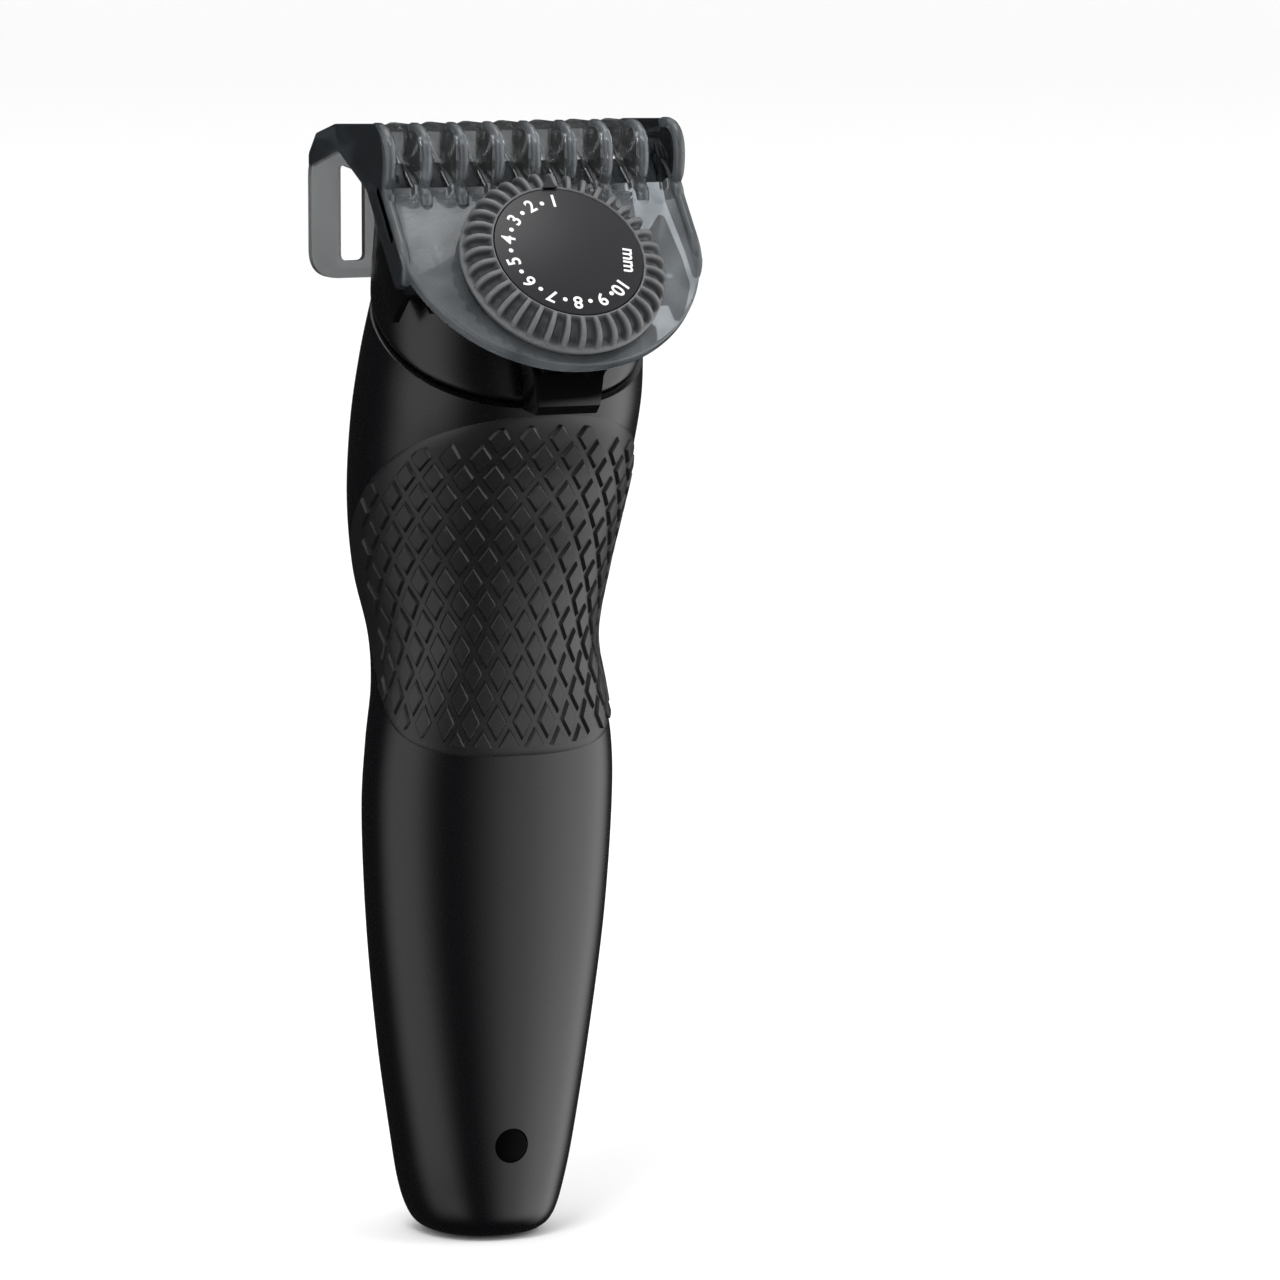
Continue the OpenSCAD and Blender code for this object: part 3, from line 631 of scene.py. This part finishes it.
def comb_plate():
    """The sloping plate: a half round below, with shallow pockets between the fins above."""
    outline = [(COMB_HALF * math.cos(a), PLATE_MIDDLE + COMB_HALF * math.sin(a))
               for a in spread(-math.pi, 0, 90)]
    outline += [(COMB_HALF, PLATE_END), (-COMB_HALF, PLATE_END)]
    plate = prism("comb_plate", outline, PLATE_LOW, PLATE_TOP, on_slope)
    hub = [(HUB_R * math.cos(math.tau * i / 96), HUB_R * math.sin(math.tau * i / 96)) for i in range(96)]
    cut(plate, prism("tool", hub, -8, -4, on_slope))
    for i in range(FIN_COUNT + 1):
        middle = fin_middle(i + 0.5)
        notch = rounded_outline([(middle - 1.3, PLATE_END - 2.1), (middle + 1.3, PLATE_END - 2.1),
                                 (middle + 1.7, PLATE_END + 1), (middle - 1.7, PLATE_END + 1)],
                                (0.8, 0.8, 0, 0))
        cut(plate, prism("tool", notch, PLATE_TOP - 0.9, -4, on_slope))
    return rounded_edges(plate, 0.4)


plate = comb_plate()
finish_piece(plate, "guide_comb", SMOKY)
under = prism("comb_under_rib", [(-20.9, 17.2), (20.9, 17.2), (20.9, 21.8), (-20.9, 21.8)], -9, -8.1,
              on_slope)
finish_piece(rounded_edges(under, 0.3), "guide_comb", SMOKY_DARK)
root = [slope_yz(12.2, PLATE_TOP - 0.35), slope_yz(13.4, PLATE_TOP + 0.25),
        slope_yz(14.8, PLATE_TOP + 0.5)]
body_root = [slope_yz(13.6, PLATE_LOW + 0.5), slope_yz(13.6, PLATE_TOP + 0.1)]
edges = []
for i in range(1, FIN_COUNT + 1):
    middle = fin_middle(i)
    fin = prism("comb_fin_%d" % i, body_root + FIN_BODY, middle - 0.6, middle + 0.6, sideways)
    finish_piece(rounded_edges(fin, 0.35, angle=25), "guide_comb", SMOKY_DEEP)
    path = [Vector((middle, *at)) for at in root + FIN_EDGE]
    edge = tube("comb_fin_edge_%d" % i, path, [0.9, 0.95, 0.8] + [0.72] * len(FIN_EDGE))
    finish_piece(edge, "guide_comb", SMOKY)
# Outer walls, each with a rail along the plate and a rounded front edge
for side in (-1, 1):
    inner, outer = side * (COMB_HALF - 1.3), side * COMB_HALF
    rail_root = [slope_yz(14, -9.6), slope_yz(1.5, -9.6), slope_yz(0.6, -8.6),
                 slope_yz(1.5, PLATE_TOP - 0.4), slope_yz(3, PLATE_TOP + 0.1),
                 slope_yz(13.5, PLATE_TOP + 0.1)]
    wall = prism("comb_wall", rail_root + WALL, min(inner, outer), max(inner, outer), sideways)
    finish_piece(rounded_edges(wall, 0.42, angle=25), "guide_comb", SMOKY_DARK)
    rail_path = [Vector((side * (COMB_HALF - 0.75), *slope_yz(up, height)))
                 for up, height in ((0.6, -7.4), (1.6, -6), (4, -5.15), (8, -5.05), (13, -5), (17, -4.9),
                                    (19.5, -5.6))]
    rail = tube("comb_rail", rail_path, [0.55, 0.7, 0.75, 0.75, 0.75, 0.75, 0.6])
    finish_piece(rail, "guide_comb", SMOKY)
    path = [Vector((side * (COMB_HALF - WALL_INSET), *at)) for at in root + FIN_EDGE]
    edge = tube("comb_wall_edge", path, [0.8, 0.85, 0.8] + [0.8] * len(FIN_EDGE))
    finish_piece(edge, "guide_comb", SMOKY)
# Rear frame and its windows
frame_outline = rounded_outline([(-COMB_HALF, 135.8), (COMB_HALF, 135.8), (COMB_HALF, 154.4),
                                 (-COMB_HALF, 154.4)], (4, 4, 4, 4), steps=10)
rear_frame = prism("comb_rear_frame", frame_outline, 6.5, 8, upright)
WINDOWS, WINDOW_PITCH = 6, 6.44
for i in range(WINDOWS):
    middle = (i - (WINDOWS - 1) / 2) * WINDOW_PITCH
    window = rounded_outline([(middle - 1.8, 138.2), (middle + 1.8, 138.2), (middle + 1.8, 150.4),
                              (middle - 1.8, 151.8)], (1, 1, 1, 0.8))
    cut(rear_frame, prism("tool", window, 5, 9, upright))
finish_piece(rounded_edges(rear_frame, 0.4), "guide_comb", SMOKY_DEEP)


# ---- Dial ----

# Side view of the wheel over its ribs: radius, height and how deep the valleys are
WHEEL_PROFILE = [
    (8.62, -4.7, 0), (8.62, -1.3, 0), (10.75, -1.3, 0), (10.75, -0.05, 0), (10.82, 0.04, 0),
    (10.95, 0.12, 0.1), (11.15, 0.15, 0.75), (11.5, 0.15, 1.05), (12.2, 0.1, 1.15), (12.9, -0.1, 1.15),
    (13.5, -0.45, 1.15), (14, -0.95, 1.1), (14.3, -1.5, 1.05), (14.42, -2.1, 1), (14.4, -2.7, 0.9),
    (14.32, -2.95, 0.45), (14.3, -3.05, 0), (14.5, -3.2, 0), (14.56, -3.4, 0), (14.5, -3.7, 0),
    (14.3, -3.9, 0), (13.9, -4.7, 0),
]


def wheel():
    """A revolved wheel whose shoulder carries narrow ribs over wide valleys."""
    per_rib, rib_width, steepness, shade_depth = 20, 0.4, 7, 0.5
    count = RIBS * per_rib
    points, rib_light_share = [], []
    for k, (r, h, depth) in enumerate(WHEEL_PROFILE):
        (r0, h0, _), (r1, h1, _) = WHEEL_PROFILE[k - 1], WHEEL_PROFILE[(k + 1) % len(WHEEL_PROFILE)]
        inward = Vector((h1 - h0, -(r1 - r0))).normalized()
        for i in range(count):
            off = abs((i / per_rib + 0.5) % 1 - 0.5) * 2
            rise = 1 / (1 + (off / rib_width) ** steepness)
            sunk = depth * (1 - rise)
            turn = math.tau * i / count + math.pi / RIBS
            rr, hh = r + inward.x * sunk, h + inward.y * sunk
            points.append(on_slope(rr * math.cos(turn), rr * math.sin(turn), hh))
            # The share of light is 1 on the rib tops and falls to 0 as a valley sinks; low values get
            # painted shade.
            rib_light_share.append(max(0, 1 - sunk / shade_depth))
    faces = grid_faces(len(WHEEL_PROFILE), count, wrap_rows=True, wrap_cols=True)
    made = raw_piece("wheel", points, faces)
    made.data.attributes.new("rib_light_share", "FLOAT", "POINT").data.foreach_set("value", rib_light_share)
    return made


def turned(name, profile, steps=160):
    """A closed disc turned about the dial's axis, from a side view that starts and ends on the axis."""
    inner = profile[1:-1]
    points = [on_slope(r * math.cos(math.tau * i / steps), r * math.sin(math.tau * i / steps), h)
              for r, h in inner for i in range(steps)]
    faces = grid_faces(len(inner), steps, wrap_cols=True)
    for end, ring in ((profile[0], 0), (profile[-1], len(inner) - 1)):
        centre = len(points)
        points.append(on_slope(0, 0, end[1]))
        faces += [(centre, ring * steps + i, ring * steps + (i + 1) % steps) for i in range(steps)]
    return raw_piece(name, points, faces)


def label(text, angle, radius, height):
    """Text on the disc, with its top away from the centre."""
    curve = bpy.data.curves.new("label", "FONT")
    curve.body = text
    curve.size = height / 0.7 * MM
    curve.align_x, curve.align_y = "CENTER", "CENTER"
    curve.offset = 0.05 * MM
    curve.extrude = 0.015 * MM
    holder = bpy.data.objects.new("label", curve)
    bpy.context.collection.objects.link(holder)
    mesh = bpy.data.meshes.new_from_object(holder.evaluated_get(bpy.context.evaluated_depsgraph_get()))
    a = math.radians(angle)
    spot = Vector((radius * math.cos(a), radius * math.sin(a), 0.005)) * MM
    slope = Matrix.Translation(DIAL_AT * MM) @ ON_SLOPE.to_3x3().to_4x4()
    mesh.transform(slope @ Matrix.Translation(spot) @ Matrix.Rotation(a - math.pi / 2, 4, "Z"))
    bpy.data.objects.remove(holder)
    return mesh


def dot(angle, radius, size, steps=20):
    """A round mark on the disc."""
    a = math.radians(angle)
    centre = Vector((radius * math.cos(a), radius * math.sin(a), 0))
    points, faces = drum(size, -0.01, 0.02, steps)
    mesh = bpy.data.meshes.new("dot")
    mesh.from_pydata([(ON_SLOPE @ (centre + p)) * MM for p in points], [], faces)
    return mesh


def joined(name, meshes):
    """One object from several meshes."""
    whole = bmesh.new()
    for mesh in meshes:
        whole.from_mesh(mesh)
        bpy.data.meshes.remove(mesh)
    result = bpy.data.meshes.new(name)
    whole.to_mesh(result)
    whole.free()
    piece = bpy.data.objects.new(name, result)
    bpy.context.collection.objects.link(piece)
    return piece


finish_piece(wheel(), "dial_ring", WHEEL, sharp=60)
finish_piece(turned("numbered_disc", [(0, -0.9), (DISC_R, -0.9), (DISC_R, -0.12), (DISC_R - 0.04, -0.04),
                                      (DISC_R - 0.14, 0), (0, 0)]), "dial_disc", DISC)
marks = []
for number in range(10):
    marks.append(label(str(number + 1), 90 + number * STEP_ANGLE, 8.5, 1.95))
    if number < 9:
        marks.append(dot(90 + (number + 0.5) * STEP_ANGLE, 8.4, 0.33))
marks.append(label("mm", -12, 8.6, 1.9))
finish_piece(joined("disc_numbers", marks), "dial_disc", INK, replaces=False)
pointer = raw_piece("wheel_pointer",
                    [on_slope(x, y, h) for h in (-0.3, 0.28)
                     for x, y in ((-1.1, 10.72), (1.1, 10.72), (0.12, 12.3), (-0.12, 12.3))],
                    [(0, 3, 2, 1), (4, 5, 6, 7), (0, 1, 5, 4), (1, 2, 6, 5), (2, 3, 7, 6), (3, 0, 4, 7)])
finish_piece(pointer, "dial_ring", DISC, replaces=False)

# ---- Camera and studio ----

AIM = Vector((19.39, -12.91, 85)) * MM
AZIMUTH, ELEVATION = math.radians(-23.2), math.radians(6.9)
back = Vector((math.sin(AZIMUTH) * math.cos(ELEVATION), -math.cos(AZIMUTH) * math.cos(ELEVATION),
               math.sin(ELEVATION)))
camera = bpy.data.objects.new("camera", bpy.data.cameras.new("camera"))
camera.data.lens = 199.7
camera.data.sensor_width = 36
camera.data.clip_start = 0.05
camera.location = AIM + back
camera.rotation_mode = "QUATERNION"
camera.rotation_quaternion = (-back).to_track_quat("-Z", "Y")
bpy.context.collection.objects.link(camera)
bpy.context.scene.camera = camera
bpy.context.scene.view_settings.view_transform = "Standard"


def softbox(name, place, aim, size, power):
    """A soft area light that shines but isn't seen in reflections."""
    lamp = bpy.data.lights.new(name, "AREA")
    lamp.shape = "RECTANGLE"
    lamp.size, lamp.size_y = size
    lamp.energy = power
    holder = bpy.data.objects.new(name, lamp)
    holder.location = place
    holder.rotation_mode = "QUATERNION"
    holder.rotation_quaternion = (Vector(aim) - Vector(place)).to_track_quat("-Z", "Y")
    holder.visible_glossy = False
    bpy.context.collection.objects.link(holder)


# Brightness of the surroundings: patches seen in reflections, then the backdrop, then all round
RIGHT_WALL, LEFT_STRIP, TOP_PANEL, OVERHEAD, SHADE = 2.2, 1.15, 0.9, 3, 0.02
BACKDROP, AROUND = 1.1, 1.05


def stage_floor():
    """A pale sweep: a floor that curves up behind the object."""
    reach, depth, turn, rise = 8, 6, 1.5, 6
    profile = [(-6, 0), (depth - turn, 0)]
    profile += [(depth - turn + turn * math.sin(a), turn - turn * math.cos(a))
                for a in spread(0, math.pi / 2, 12)[1:]]
    profile.append((depth, rise))
    points = [Vector((x, y, z)) / MM for x in (-reach, reach) for y, z in profile]
    floor = raw_piece("studio_floor", points, grid_faces(2, len(profile)))
    floor.rotation_euler.z = AZIMUTH
    floor.data.shade_smooth()
    floor.data.materials.append(grain(material("studio_paper", (0.92, 0.92, 0.92), 0.9), 40, 0,
                                      rough=(0.85, 0.95)))
    floor.visible_glossy = False


def studio_world():
    """Even pale light, with a broad wall to the right, a strip to the left and panels above
    that only reflections see."""
    world = bpy.data.worlds.new("studio")
    world.use_nodes = True
    tree = world.node_tree

    def node(kind, **settings):
        made = tree.nodes.new(kind)
        for setting, value in settings.items():
            setattr(made, setting, value)
        return made

    def feed(source, socket):
        if isinstance(source, (int, float)):
            socket.default_value = source
        else:
            tree.links.new(source, socket)

    def sum_of(operation, first, second):
        made = node("ShaderNodeMath", operation=operation)
        feed(first, made.inputs[0])
        feed(second, made.inputs[1])
        return made.outputs[0]

    def ramp(source, start, end):
        """0 below start, 1 above end, smooth between, or the other way round."""
        made = node("ShaderNodeMapRange", interpolation_type="SMOOTHSTEP")
        feed(source, made.inputs["Value"])
        low, high = sorted((start, end))
        made.inputs["From Min"].default_value, made.inputs["From Max"].default_value = low, high
        made.inputs["To Min"].default_value = 0 if start < end else 1
        made.inputs["To Max"].default_value = 1 if start < end else 0
        return made.outputs["Result"]

    def lobe(rise, fall, strength):
        """A patch of light between two bearings, in degrees from the front, + to the right."""
        edges = [ramp(bearing, *(math.radians(v) for v in pair)) for pair in (rise, fall)]
        return sum_of("MULTIPLY", sum_of("MULTIPLY", *edges), strength)

    direction = node("ShaderNodeSeparateXYZ")
    tree.links.new(node("ShaderNodeTexCoord").outputs["Generated"], direction.inputs[0])
    bearing = sum_of("ARCTAN2", direction.outputs["X"], sum_of("MULTIPLY", direction.outputs["Y"], -1))
    walls = sum_of("ADD", lobe((-14, 60), (122, 90), RIGHT_WALL),
                   lobe((-128, -88), (-26, -64), LEFT_STRIP))
    up = direction.outputs["Z"]
    walls = sum_of("MULTIPLY", walls, sum_of("MULTIPLY", ramp(up, -0.8, -0.35), ramp(up, 0.8, 0.3)))
    above = sum_of("ADD", sum_of("MULTIPLY", ramp(up, 0.5, 0.8), TOP_PANEL),
                   sum_of("MULTIPLY", ramp(up, 0.9, 0.98), OVERHEAD))
    seen = sum_of("ADD", sum_of("ADD", walls, above), SHADE)
    path = node("ShaderNodeLightPath")
    strength = node("ShaderNodeMix")
    feed(path.outputs["Is Glossy Ray"], strength.inputs["Factor"])
    plain = node("ShaderNodeMix")
    feed(path.outputs["Is Diffuse Ray"], plain.inputs["Factor"])
    plain.inputs["A"].default_value, plain.inputs["B"].default_value = BACKDROP, AROUND
    feed(plain.outputs["Result"], strength.inputs["A"])
    feed(seen, strength.inputs["B"])
    background = tree.nodes["Background"]
    background.inputs["Color"].default_value = (1, 1, 1, 1)
    feed(strength.outputs["Result"], background.inputs["Strength"])
    world.cycles.sampling_method = "NONE"
    bpy.context.scene.world = world


stage_floor()
studio_world()
softbox("key", (-0.9, -1.1, 2.3), (0, 0, 0.09), (0.8, 0.8), 26)
softbox("fill", (1.8, -1.0, 1.8), (0, 0, 0.09), (1.4, 1.4), 14)

# ---- Carried-over nodes ----

for node, piece in frame["nodes"].items():
    for index in range(len(piece.material_slots)):
        piece.material_slots[index].material = LOOKS[SLOT_OF[node]]
